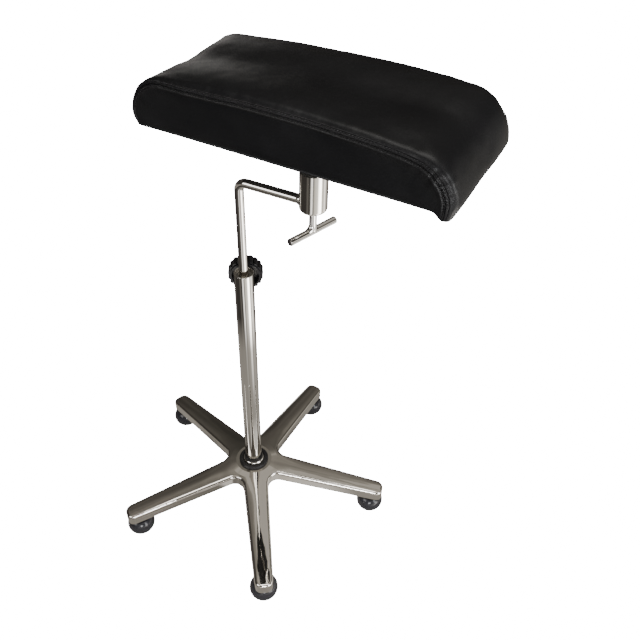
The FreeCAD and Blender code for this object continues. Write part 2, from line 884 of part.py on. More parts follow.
def end_face(section, side):
    # The section turned down over one end until it lies level.
    tipped = turned(section, pad_crown_angle, Vector(0, 0, pad_crown_centre), Vector(0, side, 0))
    centre = Vector(side * pad_end_centre, 0, pad_end_height)
    return turned(tipped, 90 - pad_crown_angle, centre, Vector(0, side, 0))


def end_round(section, side):
    centre = Vector(side * pad_end_centre, 0, pad_end_height)
    return end_face(section, side).revolve(centre, Vector(0, -side, 0), 90 - pad_crown_angle)


def tuck_at(height):
    # How far the end is drawn in under the end round.
    return pad_end_tuck * (pad_end_height - height) / (pad_end_height - pad_bottom_height)


def end_foot(section, side, low, high):
    # The level end below its round, leaning inwards to the pad's bottom.
    top = Vector(-side * tuck_at(high), 0, high - pad_end_height)
    drop = Vector(-side * (tuck_at(low) - tuck_at(high)), 0, low - high)
    return moved(end_face(section, side), top).extrude(drop)


def filled_box(low, high):
    # The straight block inside the cover, between the end rounds.
    foot = pad_width / 2 - cover_thickness - pad_side_draw
    return middle_box(low, high, -foot, foot)


def middle_box(low, high, near, far):
    # A straight block between the end rounds, from one width place to another.
    return Part.makeBox(pad_end_centre * 2, far - near, high - low, Vector(-pad_end_centre, near, low))


def joined(solids):
    return solids[0].fuse(solids[1:])


def on_plate(shape):
    # The pad's middle stands a little outwards of the ball stud.
    return on_stud(moved(shape, Vector(pad_offset, 0, 0)))


def swept_piece(section, foot_height):
    # The crowned span with both end rounds and their feet.
    solids = [crowned_span(section)]
    for side in (-1, 1):
        solids.append(end_round(section, side))
        solids.append(end_foot(section, side, foot_height, pad_end_height))
    return solids


def pad_layer(low, high):
    # A level layer inside the cover, below the end rounds.
    solids = [filled_box(low, high)]
    for side in (-1, 1):
        solids.append(end_foot(filled_section(), side, low, high))
    return joined(solids)


def recess_and_screw_holes(recess_top):
    # Room for the stud's nut and the plate's screws, in the pad's own place.
    recess = upright(nut_recess_radius, pad_bottom_height - overrun, recess_top)
    return [moved(shape, Vector(-pad_offset, 0, 0)) for shape in [recess] + plate_screw_holes()]


def make_pad_under_cloth():
    cloth = pad_layer(pad_bottom_height, board_bottom_height)
    return on_plate(cloth.cut(recess_and_screw_holes(board_top_height)))


def make_pad_board():
    recess_top = stud_top_height() + stud_washer_height
    board = pad_layer(board_bottom_height, board_top_height)
    return on_plate(board.cut(recess_and_screw_holes(recess_top)))


def filling(low):
    # All that lies inside the cover, above the given height.
    return joined(swept_piece(filled_section(), low) + [filled_box(low, pad_section_foot)])


def make_pad_foam():
    return on_plate(filling(board_top_height))


def make_pad_cover_top():
    return on_plate(joined(swept_piece(top_strip_section(), pad_bottom_height)))


def make_pad_cover_side(side):
    # The crown lowers the sloping part's foot, so what the filling takes is cut out of the straight part.
    foot = pad_width / 2 - pad_side_draw
    near, far = sorted([side * foot, side * (foot - cover_thickness)])
    solids = swept_piece(side_strip_section(side), pad_bottom_height)
    panel = joined(solids + [middle_box(pad_bottom_height, pad_section_foot, near, far)])
    return on_plate(panel.cut(filling(pad_bottom_height)))


def main():
    os.makedirs("parts", exist_ok=True)
    save(make_star_base(), "star_base")
    for index, (x, y) in enumerate(foot_places()):
        save(make_glide(x, y), "glide_" + str(index + 1))
        save(make_glide_stem(x, y), "glide_stem_" + str(index + 1))
    save(make_hub_collar(), "hub_collar")
    save(make_hub_dome_ring(), "hub_dome_ring")
    save(make_hub_seal_ring(), "hub_seal_ring")
    save(make_mast_tube(), "mast_tube")
    save(make_mast_foot_insert(), "mast_foot_insert")
    save(make_mast_washer(), "mast_washer")
    save(make_mast_bolt(), "mast_bolt")
    save(make_mast_head_plug(), "mast_head_plug")
    save(make_knob_boss(), "knob_boss")
    save(make_clamp_shoe(), "clamp_shoe")
    save(make_knob_stud(), "knob_stud")
    save(make_knob_body(), "knob_body")
    save(make_arm_rod(), "arm_rod")
    save(make_guide_bush(), "guide_bush")
    save(make_rod_end_washer(), "rod_end_washer")
    save(make_rod_end_screw(), "rod_end_screw")
    save(make_head_boss(), "head_boss")
    save(make_head_ring(), "head_ring")
    save(make_seat_cup(), "seat_cup")
    save(make_pressure_plug(), "pressure_plug")
    save(make_clamp_screw(), "clamp_screw")
    save(make_clamp_bar(), "clamp_bar")
    save(make_ball_stud(), "ball_stud")
    save(make_stud_washer(), "stud_washer")
    save(make_stud_nut(), "stud_nut")
    save(make_pad_plate(), "pad_plate")
    for index, (x, y) in enumerate(plate_screw_places()):
        save(make_plate_screw(x, y), "plate_screw_" + str(index + 1))
    save(make_pad_under_cloth(), "pad_under_cloth")
    save(make_pad_board(), "pad_board")
    save(make_pad_foam(), "pad_foam")
    save(make_pad_cover_top(), "pad_cover_top")
    save(make_pad_cover_side(-1), "pad_cover_front")
    save(make_pad_cover_side(1), "pad_cover_back")


main()
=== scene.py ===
import math
import random

import bmesh
import bpy
from mathutils import Matrix, Vector, noise
from mathutils.bvhtree import BVHTree
from mathutils.geometry import barycentric_transform
from mathutils.kdtree import KDTree


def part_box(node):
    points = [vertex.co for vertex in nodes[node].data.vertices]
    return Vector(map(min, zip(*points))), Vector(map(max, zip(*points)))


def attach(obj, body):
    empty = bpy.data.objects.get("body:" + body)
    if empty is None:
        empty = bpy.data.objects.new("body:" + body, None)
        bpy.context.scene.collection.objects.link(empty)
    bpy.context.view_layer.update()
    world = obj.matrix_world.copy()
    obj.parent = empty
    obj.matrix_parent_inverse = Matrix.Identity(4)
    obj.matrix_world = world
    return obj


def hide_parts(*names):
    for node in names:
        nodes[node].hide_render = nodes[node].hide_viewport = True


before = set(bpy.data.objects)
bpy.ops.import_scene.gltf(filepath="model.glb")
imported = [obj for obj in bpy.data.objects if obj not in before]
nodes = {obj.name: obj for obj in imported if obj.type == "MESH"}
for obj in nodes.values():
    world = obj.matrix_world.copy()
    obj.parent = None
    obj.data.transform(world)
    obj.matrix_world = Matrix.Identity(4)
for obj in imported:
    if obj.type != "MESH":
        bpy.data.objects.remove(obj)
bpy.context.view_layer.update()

# Camera
# The stand was photographed from above its front right side, with a lens a little wider than
# normal. The camera's place and turn are fitted to the glides, the mast and the arms.


def linked_object(name, data):
    piece = bpy.data.objects.new(name, data)
    bpy.context.scene.collection.objects.link(piece)
    return piece


camera_data = bpy.data.cameras.new("camera")
camera_data.sensor_width = 36.0
camera_data.lens = 40.58
camera = linked_object("camera", camera_data)
camera.location = (0.50166, -0.72179, 1.21026)
camera.rotation_euler = [math.radians(angle) for angle in (48.754, -1.468, 28.3265)]
bpy.context.scene.camera = camera

# Room, floor and lamps
# A plain pale floor under soft lamps. What the chrome mirrors is a warm grey room with darker
# and lighter upright stretches, which the camera itself doesn't see.


def add_node(tree, kind, **settings):
    node = tree.nodes.new(kind)
    for name, value in settings.items():
        setattr(node, name, value)
    return node


def add_ramp(tree, value, stops):
    # Grey levels or colours by their places on a colour ramp.
    node = add_node(tree, "ShaderNodeValToRGB")
    elements = node.color_ramp.elements
    while len(elements) < len(stops):
        elements.new(1.0)
    for element, (place, colour) in zip(elements, stops):
        element.position = place
        element.color = (*colour, 1.0) if isinstance(colour, tuple) else (colour, colour, colour, 1.0)
    tree.links.new(value, node.inputs["Fac"])
    return node.outputs["Color"]


def combine(tree, operation, *values):
    node = add_node(tree, "ShaderNodeMath", operation=operation)
    for socket, value in zip(node.inputs, values):
        if isinstance(value, (int, float)):
            socket.default_value = value
        else:
            tree.links.new(value, socket)
    return node.outputs[0]


def spread(tree, value, low, high, start=0.3, finish=0.7):
    # Low where the value is at start or below, and high where it is at finish or above.
    node = add_node(tree, "ShaderNodeMapRange")
    for label, number in (("From Min", start), ("From Max", finish), ("To Min", low), ("To Max", high)):
        if isinstance(number, (int, float)):
            node.inputs[label].default_value = number
        else:
            tree.links.new(number, node.inputs[label])
    tree.links.new(value, node.inputs["Value"])
    return node.outputs[0]


def add_noise(tree, place, scale, detail=3.0, stretch=None):
    # A noise over the surface, which a stretch draws out along an axis.
    if stretch:
        mapping = add_node(tree, "ShaderNodeMapping")
        mapping.inputs["Scale"].default_value = stretch
        tree.links.new(place, mapping.inputs["Vector"])
        place = mapping.outputs["Vector"]
    texture = add_node(tree, "ShaderNodeTexNoise")
    if isinstance(scale, float):
        texture.inputs["Scale"].default_value = scale
    else:
        tree.links.new(scale, texture.inputs["Scale"])
    texture.inputs["Detail"].default_value = detail
    tree.links.new(place, texture.inputs["Vector"])
    return texture.outputs["Fac"]


def mix_colours(tree, share, first, second, blend="MIX"):
    node = add_node(tree, "ShaderNodeMix", data_type="RGBA", blend_type=blend)
    for label, value in (("Factor", share), ("A", first), ("B", second)):
        if isinstance(value, tuple):
            node.inputs[label].default_value = (*value, 1.0)
        else:
            tree.links.new(value, node.inputs[label])
    return node.outputs["Result"]


def split_by_ray(tree, mirrored, seen, output_kind):
    # The camera sees one surface, and everything else is lit by and mirrors the other.
    rays = add_node(tree, "ShaderNodeLightPath")
    either = add_node(tree, "ShaderNodeMixShader")
    for source, socket in zip((rays.outputs["Is Camera Ray"], mirrored, seen), either.inputs):
        tree.links.new(source, socket)
    tree.links.new(either.outputs[0], add_node(tree, output_kind).inputs["Surface"])


def mesh_from(shape, name, smooth=False):
    for face in shape.faces:
        face.smooth = smooth
    data = bpy.data.meshes.new(name)
    shape.to_mesh(data)
    shape.free()
    return data


# Lighter and darker upright stretches of the room by compass direction, the same on wall and floor
stretches = bpy.data.node_groups.new("room_stretches", "ShaderNodeTree")
stretches.interface.new_socket("Direction", in_out="INPUT", socket_type="NodeSocketVector")
stretches.interface.new_socket("Color", in_out="OUTPUT", socket_type="NodeSocketColor")
stretches_in = add_node(stretches, "NodeGroupInput")
stretches_out = add_node(stretches, "NodeGroupOutput")
compass = add_node(stretches, "ShaderNodeSeparateXYZ")
stretches.links.new(stretches_in.outputs["Direction"], compass.inputs["Vector"])
heading = combine(stretches, "ARCTAN2", compass.outputs["Y"], compass.outputs["X"])
bands = add_ramp(stretches, spread(stretches, heading, 0.0, 1.0, start=-math.pi, finish=math.pi), [
    (0.0, (0.20, 0.19, 0.17)),
    (0.030, (0.12, 0.11, 0.10)),
    (0.050, (0.055, 0.050, 0.045)),
    (0.180, (0.055, 0.050, 0.045)),
    (0.205, (0.17, 0.16, 0.145)),
    (0.225, (0.17, 0.16, 0.145)),
    (0.245, (0.07, 0.065, 0.06)),
    (0.275, (0.10, 0.095, 0.085)),
    (0.292, (1.8, 1.75, 1.68)),
    (0.318, (2.6, 2.55, 2.45)),
    (0.328, (0.33, 0.31, 0.28)),
    (0.345, (0.33, 0.31, 0.28)),
    (0.362, (1.0, 0.95, 0.86)),
    (0.430, (1.6, 1.52, 1.38)),
    (0.465, (10.0, 9.7, 9.3)),
    (0.500, (12.0, 11.7, 11.2)),
    (0.515, (1.4, 1.33, 1.20)),
    (0.560, (1.2, 1.14, 1.03)),
    (0.575, (2.6, 2.5, 2.35)),
    (0.600, (2.4, 2.3, 2.15)),
    (0.620, (0.80, 0.76, 0.68)),
    (0.670, (0.45, 0.43, 0.39)),
    (0.700, (0.06, 0.056, 0.05)),
    (0.840, (0.035, 0.032, 0.028)),
    (0.852, (1.5, 1.45, 1.38)),
    (0.872, (1.5, 1.45, 1.38)),
    (0.885, (0.035, 0.032, 0.028)),
    (0.985, (0.06, 0.055, 0.05)),
])
stretches.links.new(bands, stretches_out.inputs["Color"])

# Above the walls the room gets lighter with height, unevenly, and later on its darker left side.
# What the camera itself sees of room and floor glows white
seen_glow = 24.0
cloud_share = 0.60
world = bpy.data.worlds.new("room")
world.use_nodes = True
bpy.context.scene.world = world
room = world.node_tree
room.nodes.clear()
direction = add_node(room, "ShaderNodeTexCoord").outputs["Generated"]
walls = add_node(room, "ShaderNodeGroup", node_tree=stretches)
room.links.new(direction, walls.inputs["Direction"])
rise = add_node(room, "ShaderNodeSeparateXYZ")
room.links.new(direction, rise.inputs["Vector"])
clouds = add_noise(room, direction, scale=5.0, detail=1.5)
darker_side = spread(room, rise.outputs["X"], -0.35, -0.07, start=-0.50, finish=-0.19)
lowered_rise = combine(room, "ADD", rise.outputs["Z"], darker_side)
ceiling = add_ramp(room, combine(room, "MULTIPLY_ADD", clouds, cloud_share, lowered_rise), [
    (0.44, (0.055, 0.051, 0.045)),
    (0.62, (0.095, 0.088, 0.077)),
    (0.78, (0.155, 0.144, 0.126)),
    (0.93, (0.29, 0.271, 0.238)),
    (0.98, (0.38, 0.357, 0.315)),
    (1.0, (0.60, 0.565, 0.505)),
])
wall_top = spread(room, rise.outputs["Z"], 0.0, 1.0, start=0.12, finish=0.30)
mirrored_room = add_node(room, "ShaderNodeBackground")
room.links.new(mix_colours(room, wall_top, walls.outputs["Color"], ceiling), mirrored_room.inputs["Color"])
seen_room = add_node(room, "ShaderNodeBackground")
seen_room.inputs["Color"].default_value = (1.0, 1.0, 1.0, 1.0)
seen_room.inputs["Strength"].default_value = seen_glow
split_by_ray(room, mirrored_room.outputs[0], seen_room.outputs[0], "ShaderNodeOutputWorld")

# In the chrome the floor has the walls' stretches too, evened out round the star and far from it. Round the
# star the evening and a cap on the glow are painted shade of the stand
floor_half_width = 12.0
floor_mesh = bmesh.new()
bmesh.ops.create_grid(floor_mesh, x_segments=2, y_segments=2, size=floor_half_width)
floor_data = mesh_from(floor_mesh, "floor")
floor = linked_object("floor", floor_data)
floor_finish = bpy.data.materials.new("pale_floor")
floor_finish.use_nodes = True
tree = floor_finish.node_tree
tree.nodes.clear()
spot = add_node(tree, "ShaderNodeTexCoord").outputs["Object"]
underfoot = add_node(tree, "ShaderNodeGroup", node_tree=stretches)
tree.links.new(spot, underfoot.inputs["Direction"])
reach = add_node(tree, "ShaderNodeVectorMath", operation="LENGTH")
tree.links.new(spot, reach.inputs[0])
half_reach = combine(tree, "MULTIPLY", reach.outputs["Value"], 0.5)
evened = add_ramp(tree, half_reach, [
    (0.08, 0.55),
    (0.105, 0.96),
    (0.14, 0.96),
    (0.21, 0.86),
    (0.27, 0.0),
    (0.68, 0.0),
    (0.84, 0.8),
])
# Painted shade: round the star the mirrored glow is capped, then evened towards grey
near_star = add_ramp(tree, half_reach, [(0.12, 1.0), (0.15, 0.0)])
shaded_near_star = mix_colours(tree, near_star, underfoot.outputs["Color"], (1.6, 1.55, 1.45), "DARKEN")
reflected = add_node(tree, "ShaderNodeEmission")
tree.links.new(mix_colours(tree, evened, shaded_near_star, (0.40, 0.375, 0.335)), reflected.inputs["Color"])
white_paint = add_node(tree, "ShaderNodeBsdfDiffuse")
white_paint.inputs["Color"].default_value = (0.95, 0.95, 0.95, 1.0)
glow = add_node(tree, "ShaderNodeEmission")
glow.inputs["Strength"].default_value = seen_glow
lit = add_node(tree, "ShaderNodeAddShader")
tree.links.new(white_paint.outputs[0], lit.inputs[0])
tree.links.new(glow.outputs[0], lit.inputs[1])
split_by_ray(tree, reflected.outputs[0], lit.outputs[0], "ShaderNodeOutputMaterial")
floor_data.materials.append(floor_finish)


def add_lamp(name, place, aim, size, watts, colour):
    data = bpy.data.lights.new(name, "AREA")
    data.shape = "RECTANGLE"
    data.size, data.size_y = size
    data.energy = watts
    data.color = colour
    lamp = linked_object(name, data)
    lamp.location = place
    lamp.rotation_euler = (Vector(aim) - Vector(place)).to_track_quat("-Z", "Y").to_euler()


add_lamp("soft_lamp_front", (-0.9, -2.4, 1.7), (0.1, 0.0, 0.6), (1.4, 1.2), 26.0, (1.0, 0.98, 0.97))
add_lamp("soft_lamp_top", (0.3, -0.2, 2.9), (0.1, 0.0, 0.0), (1.5, 1.5), 30.0, (1.0, 0.98, 0.95))
add_lamp("soft_lamp_right", (2.4, -0.6, 1.3), (0.1, 0.0, 0.7), (0.7, 1.6), 24.0, (0.95, 0.97, 1.0))
add_lamp("soft_lamp_low", (0.95, -1.40, 0.62), (0.0, 0.0, 0.1), (0.45, 0.3), 12.0, (0.97, 0.98, 1.0))

# Star base
# One five-armed casting with a hollow underside, polished until it mirrors the room, a little
# wavy as cast and hand-polished metal is.

arm_count = 5
arm_top_radius = 0.11


def new_group(name, inputs, outputs):
    group = bpy.data.node_groups.new(name, "ShaderNodeTree")
    for label, value in inputs:
        socket = group.interface.new_socket(label, in_out="INPUT", socket_type="NodeSocketFloat")
        socket.default_value = value
    for label in outputs:
        group.interface.new_socket(label, in_out="OUTPUT", socket_type="NodeSocketFloat")
    return group, add_node(group, "NodeGroupInput"), add_node(group, "NodeGroupOutput")


def object_place(tree):
    return add_node(tree, "ShaderNodeTexCoord").outputs["Object"]


# Handling marks: soft smears, and hair-fine scratches that only catch a lamp
marks, marks_in, marks_out = new_group(
    "handling_marks",
    [("Clean Roughness", 0.04), ("Smeared Roughness", 0.14), ("Smear Scale", 14.0)],
    ["Roughness", "Height"],
)
marks_place = object_place(marks)
smears = add_noise(marks, marks_place, marks_in.outputs["Smear Scale"], detail=5.0)
clean_to_smeared = [marks_in.outputs[label] for label in ("Clean Roughness", "Smeared Roughness")]
smeared_roughness = spread(marks, smears, *clean_to_smeared, start=0.42, finish=0.72)
marks.links.new(smeared_roughness, marks_out.inputs["Roughness"])
scratches = add_noise(marks, marks_place, scale=30.0, detail=2.0, stretch=(9.0, 9.0, 1.0))
marks.links.new(scratches, marks_out.inputs["Height"])


def new_finish(name, colour, metallic=0.0, roughness=0.5):
    finish = bpy.data.materials.new(name)
    finish.use_nodes = True
    shader = finish.node_tree.nodes["Principled BSDF"]
    shader.inputs["Base Color"].default_value = (*colour, 1.0)
    shader.inputs["Metallic"].default_value = metallic
    shader.inputs["Roughness"].default_value = roughness
    return finish, finish.node_tree, shader


def place_group(tree, group, **values):
    node = add_node(tree, "ShaderNodeGroup", node_tree=group)
    for label, value in values.items():
        node.inputs[label.replace("_", " ")].default_value = value
    return node


def add_bump(tree, shader, height, strength, distance):
    bump = add_node(tree, "ShaderNodeBump")
    bump.inputs["Strength"].default_value = strength
    bump.inputs["Distance"].default_value = distance
    tree.links.new(height, bump.inputs["Height"])
    tree.links.new(bump.outputs["Normal"], shader.inputs["Normal"])


def mirror_finish(name, colour, wave_height, wave_scale, clean, smeared, swell_of=None):
    # A polished metal with handling marks and a little unevenness. Heights are in metres.
    finish, tree, shader = new_finish(name, colour, 1.0)
    wear = place_group(tree, marks, Clean_Roughness=clean, Smeared_Roughness=smeared)
    tree.links.new(wear.outputs["Roughness"], shader.inputs["Roughness"])
    waves = add_noise(tree, object_place(tree), wave_scale, detail=1.0)
    scratch_share = 0.02
    scratched = combine(tree, "MULTIPLY_ADD", wear.outputs["Height"], scratch_share, waves)
    height = combine(tree, "MULTIPLY", scratched, wave_height)
    if swell_of:
        height = combine(tree, "ADD", height, swell_of(tree))
    add_bump(tree, shader, height, 1.0, 1.0)
    return finish


def arm_swell(tree):
    # The arms' top faces are polished a little round across, away from the flat hub.
    split = add_node(tree, "ShaderNodeSeparateXYZ")
    tree.links.new(object_place(tree), split.inputs["Vector"])
    heading = combine(tree, "ARCTAN2", split.outputs["X"], split.outputs["Y"])
    turn = combine(tree, "MULTIPLY_ADD", heading, arm_count / (2 * math.pi), 0.5)
    from_middle = combine(tree, "SUBTRACT", combine(tree, "FRACT", turn), 0.5)
    local = combine(tree, "MULTIPLY", from_middle, 2 * math.pi / arm_count)
    squares = [combine(tree, "MULTIPLY", split.outputs[axis], split.outputs[axis]) for axis in "XY"]
    reach = combine(tree, "SQRT", combine(tree, "ADD", *squares))
    across = combine(tree, "MULTIPLY", reach, combine(tree, "SINE", local))
    drop = combine(tree, "MULTIPLY", combine(tree, "MULTIPLY", across, across), -1 / (2 * arm_top_radius))
    return combine(tree, "MULTIPLY", drop, spread(tree, reach, 0.0, 1.0, start=0.045, finish=0.10))


def dress(finish, *names):
    for name in names:
        nodes[name].data.materials.clear()
        nodes[name].data.materials.append(finish)


casting = mirror_finish(
    "polished_casting",
    (0.62, 0.595, 0.56),
    wave_height=0.00035,
    wave_scale=24.0,
    clean=0.03,
    smeared=0.085,
    swell_of=arm_swell,
)
dress(casting, "star_base")

# Glides
# Five glossy black balls of moulded plastic with flat feet. Each has a zinc-plated pin that is
# pushed into a socket at the end of an arm.

dust_colour = (0.2, 0.19, 0.18)

moulding, moulding_in, moulding_out = new_group(
    "moulded_plastic",
    [("Roughness", 0.25), ("Spread", 0.1)],
    ["Roughness", "Height", "Dust"],
)
moulding_place = object_place(moulding)
cloudy = add_noise(moulding, moulding_place, scale=60.0, detail=4.0)
rougher = combine(moulding, "ADD", moulding_in.outputs["Roughness"], moulding_in.outputs["Spread"])
clouded_roughness = spread(moulding, cloudy, moulding_in.outputs["Roughness"], rougher)
moulding.links.new(clouded_roughness, moulding_out.inputs["Roughness"])
pits = add_noise(moulding, moulding_place, scale=900.0, detail=2.0)
moulding.links.new(pits, moulding_out.inputs["Height"])
upward = add_node(moulding, "ShaderNodeSeparateXYZ")
moulding.links.new(add_node(moulding, "ShaderNodeNewGeometry").outputs["Normal"], upward.inputs["Vector"])
settled = spread(moulding, upward.outputs["Z"], 0.0, 1.0, start=0.2, finish=1.0)
flecks = add_noise(moulding, moulding_place, scale=140.0, detail=6.0)
moulding.links.new(combine(moulding, "MULTIPLY", settled, flecks), moulding_out.inputs["Dust"])


def plastic_finish(name, colour, roughness, uneven_by, dust_share, grain, specular=0.2, dust=dust_colour):
    # A moulding, a little dusty where it faces up. Its grain is a height in metres.
    finish, tree, shader = new_finish(name, colour)
    shader.inputs["Specular IOR Level"].default_value = specular
    body = place_group(tree, moulding, Roughness=roughness, Spread=uneven_by)
    tree.links.new(body.outputs["Roughness"], shader.inputs["Roughness"])
    covered = combine(tree, "MULTIPLY", body.outputs["Dust"], dust_share)
    tree.links.new(mix_colours(tree, covered, colour, dust), shader.inputs["Base Color"])
    add_bump(tree, shader, body.outputs["Height"], 0.3, grain)
    return finish


def dull_metal(name, colour, clean, smeared, smear_scale, scratch_height=0.0):
    # Plated steel or brass, duller and blotchier than chrome.
    finish, tree, shader = new_finish(name, colour, 1.0)
    wear = place_group(tree, marks, Clean_Roughness=clean, Smeared_Roughness=smeared, Smear_Scale=smear_scale)
    tree.links.new(wear.outputs["Roughness"], shader.inputs["Roughness"])
    if scratch_height:
        add_bump(tree, shader, wear.outputs["Height"], 0.2, scratch_height)
    return finish


glide_finish = plastic_finish(
    "glide_plastic",
    (0.026, 0.026, 0.031),
    roughness=0.10,
    uneven_by=0.07,
    dust_share=0.06,
    grain=0.00003,
    specular=0.35,
)
dress(glide_finish, *["glide_" + str(index) for index in range(1, arm_count + 1)])
zinc = dull_metal(
    "zinc_steel",
    (0.50, 0.50, 0.49),
    clean=0.25,
    smeared=0.48,
    smear_scale=90.0,
    scratch_height=0.0002,
)
dress(zinc, *["glide_stem_" + str(index) for index in range(1, arm_count + 1)])

# Rings at the foot of the mast
# A black plastic collar, a domed chrome ring in its recess and a thin rubber seal round the tube.
# They are slid down over the tube and hide its joint with the casting.

collar_finish = plastic_finish(
    "collar_plastic", (0.012, 0.012, 0.013), roughness=0.30, uneven_by=0.14, dust_share=0.12, grain=0.00006
)
dress(collar_finish, "hub_collar")
seal_finish = plastic_finish(
    "seal_rubber", (0.014, 0.014, 0.014), roughness=0.55, uneven_by=0.2, dust_share=0.2, grain=0.0001
)
dress(seal_finish, "hub_seal_ring")

# Mast
# A chromed steel tube with a recessed chrome plug that guides the rod. Its foot insert, washer
# and bolt are inside and below the casting.

chrome = mirror_finish(
    "chrome_steel", (0.68, 0.66, 0.63), wave_height=0.00006, wave_scale=14.0, clean=0.02, smeared=0.07
)
dress(chrome, "hub_dome_ring", "mast_tube", "mast_head_plug", "knob_boss")
dress(zinc, "mast_foot_insert", "mast_washer", "mast_bolt")

# Height knob
# A lobed black plastic knob moulded round a steel stud, which turns in a threaded boss on the
# tube and presses a brass shoe against the rod.

knob_finish = plastic_finish(
    "knob_plastic",
    (0.008, 0.008, 0.010),
    roughness=0.17,
    uneven_by=0.12,
    dust_share=0.05,
    grain=0.00006,
    specular=0.36,
)
dress(knob_finish, "knob_body")
dress(zinc, "knob_stud")
dress(dull_metal("brass", (0.75, 0.55, 0.25), clean=0.2, smeared=0.4, smear_scale=120.0), "clamp_shoe")

# Bent arm and cup
# A chromed rod, bent square and welded to a turned cup, with a nylon bush and a screw at its
# foot inside the mast.

dress(chrome, "arm_rod", "head_ring")
cup_finish = mirror_finish(
    "turned_chrome", (0.68, 0.66, 0.62), wave_height=0.00003, wave_scale=60.0, clean=0.05, smeared=0.13
)
dress(cup_finish, "head_boss")
nylon = plastic_finish(
    "nylon",
    (0.72, 0.70, 0.62),
    roughness=0.45,
    uneven_by=0.1,
    dust_share=0.3,
    grain=0.00005,
    dust=(0.5, 0.47, 0.42),
)
dress(nylon, "guide_bush", "seat_cup")
dress(zinc, "rod_end_washer", "rod_end_screw", "pressure_plug")

# Ball clamp
# A chromed screw under the cup with a bar welded across its foot, turned by hand to lock the ball.
# The weld is a smooth bead that runs out along the bar on one side.

clamp_chrome = mirror_finish(
    "clamp_chrome", (0.70, 0.69, 0.67), wave_height=0.00003, wave_scale=40.0, clean=0.03, smeared=0.09
)
dress(clamp_chrome, "clamp_screw", "clamp_bar")
screw_low, screw_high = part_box("clamp_screw")
bar_low, bar_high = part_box("clamp_bar")
bar_middle = (bar_low + bar_high) / 2
screw_radius = (screw_high.x - screw_low.x) / 2
weld_reach = 0.0125
weld_shortfall = 0.00005
bar_turn = math.radians(72.0)
weld = bmesh.new()
rim = bmesh.ops.create_circle(weld, cap_ends=True, segments=32, radius=screw_radius - weld_shortfall)
bmesh.ops.translate(weld, verts=rim["verts"], vec=(0, 0, weld_reach))
bmesh.ops.spin(
    weld,
    geom=weld.faces[:] + weld.edges[:],
    cent=(-weld_reach, 0, weld_reach),
    axis=(0, 1, 0),
    angle=math.pi / 2,
    steps=14,
    use_duplicate=False,
)
bmesh.ops.recalc_face_normals(weld, faces=weld.faces)
bmesh.ops.rotate(weld, verts=weld.verts, cent=(0, 0, 0), matrix=Matrix.Rotation(bar_turn, 3, "Z"))
bmesh.ops.translate(weld, verts=weld.verts, vec=bar_middle)
weld_data = mesh_from(weld, "clamp_bar_weld", smooth=True)
weld_piece = linked_object("clamp_bar_weld", weld_data)
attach(weld_piece, "clamp")
weld_data.materials.append(clamp_chrome)

# Ball stud, plate and screws
# The zinc-plated ball's stud is bolted through a powder-coated steel plate, which four screws
# hold under the pad's plywood board.

screw_names = ["plate_screw_" + str(index) for index in range(1, 5)]
dress(zinc, "ball_stud", "stud_washer", "stud_nut", *screw_names)
plate_finish = plastic_finish(
    "powder_coat", (0.014, 0.014, 0.015), roughness=0.42, uneven_by=0.15, dust_share=0.1, grain=0.0002
)
dress(plate_finish, "pad_plate")
plywood, plywood_tree, plywood_shader = new_finish("plywood", (0.62, 0.46, 0.28), 0.0, 0.7)
plies = add_noise(plywood_tree, object_place(plywood_tree), scale=12.0, detail=6.0, stretch=(1.0, 6.0, 60.0))
ply_tone = add_ramp(plywood_tree, plies, [(0.35, (0.42, 0.29, 0.16)), (0.65, (0.70, 0.54, 0.34))])
plywood_tree.links.new(ply_tone, plywood_shader.inputs["Base Color"])
add_bump(plywood_tree, plywood_shader, plies, 0.3, 0.0004)
dress(plywood, "pad_board")

# Padded rest
# Foam on a board under a sewn cover of pebbled black leathercloth: one long panel drawn over both
# ends, two side panels, and a folded seam between them with a row of stitches on each side.
# The cover is blown up a little as cloth over foam, and then gets its seams, puckers and folds.

pad_low, pad_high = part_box("pad_cover_top")
pad_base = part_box("pad_under_cloth")[0].z
pad_middle = Vector(((pad_low.x + pad_high.x) / 2, (pad_low.y + pad_high.y) / 2, pad_base))
half_length = (pad_high.x - pad_low.x) / 2
half_width = (pad_high.y - pad_low.y) / 2
pad_height = pad_high.z - pad_base
trough_depth = 0.006
end_trough_share = 0.15
ridge_place_share = 0.66
shoulder_drop = 0.0005
edge_radius = 0.0105
end_radius = 0.056
end_height = 0.01305
end_tuck = 0.005
side_draw = 0.004
end_centre = half_length - end_radius
crown_rise = pad_height - end_radius - end_height
crown_reach = (end_centre ** 2 + crown_rise ** 2) / (2 * crown_rise)
crown_radius = crown_reach + end_radius
crown_angle = math.asin(end_centre / crown_reach)
crown_centre = pad_height - crown_radius
foot_length = math.hypot(end_tuck, end_height)
bend_length = end_radius * (math.pi / 2 - crown_angle)
foot_and_bend = foot_length + bend_length
wrap_length = 2 * (foot_and_bend + crown_radius * crown_angle)
left_bend = foot_length + bend_length / 2
right_bend = wrap_length - left_bend


def ridge_line(along):
    # Seen from the side: place and outward direction at a distance along the long panel.
    side = -1 if along < wrap_length / 2 else 1
    rest = min(along, wrap_length - along)
    if rest < foot_length:
        share = rest / foot_length
        x, z = half_length - end_tuck * (1 - share), end_height * share
        out_x, out_z = 1.0, 0.0
    elif rest < foot_and_bend:
        angle = (rest - foot_length) / end_radius
        out_x, out_z = math.cos(angle), math.sin(angle)
        x, z = end_centre + end_radius * out_x, end_height + end_radius * out_z
    else:
        angle = crown_angle - (rest - foot_and_bend) / crown_radius
        out_x, out_z = math.sin(angle), math.cos(angle)
        x, z = crown_radius * out_x, crown_centre + crown_radius * out_z
    return side * x, z, side * out_x, out_z


def smooth_step(value, start, finish):
    share = min(max((value - start) / (finish - start), 0.0), 1.0)
    return share * share * (3 - 2 * share)


def hump(value, middle, width):
    return math.exp(-((value - middle) / width) ** 2)


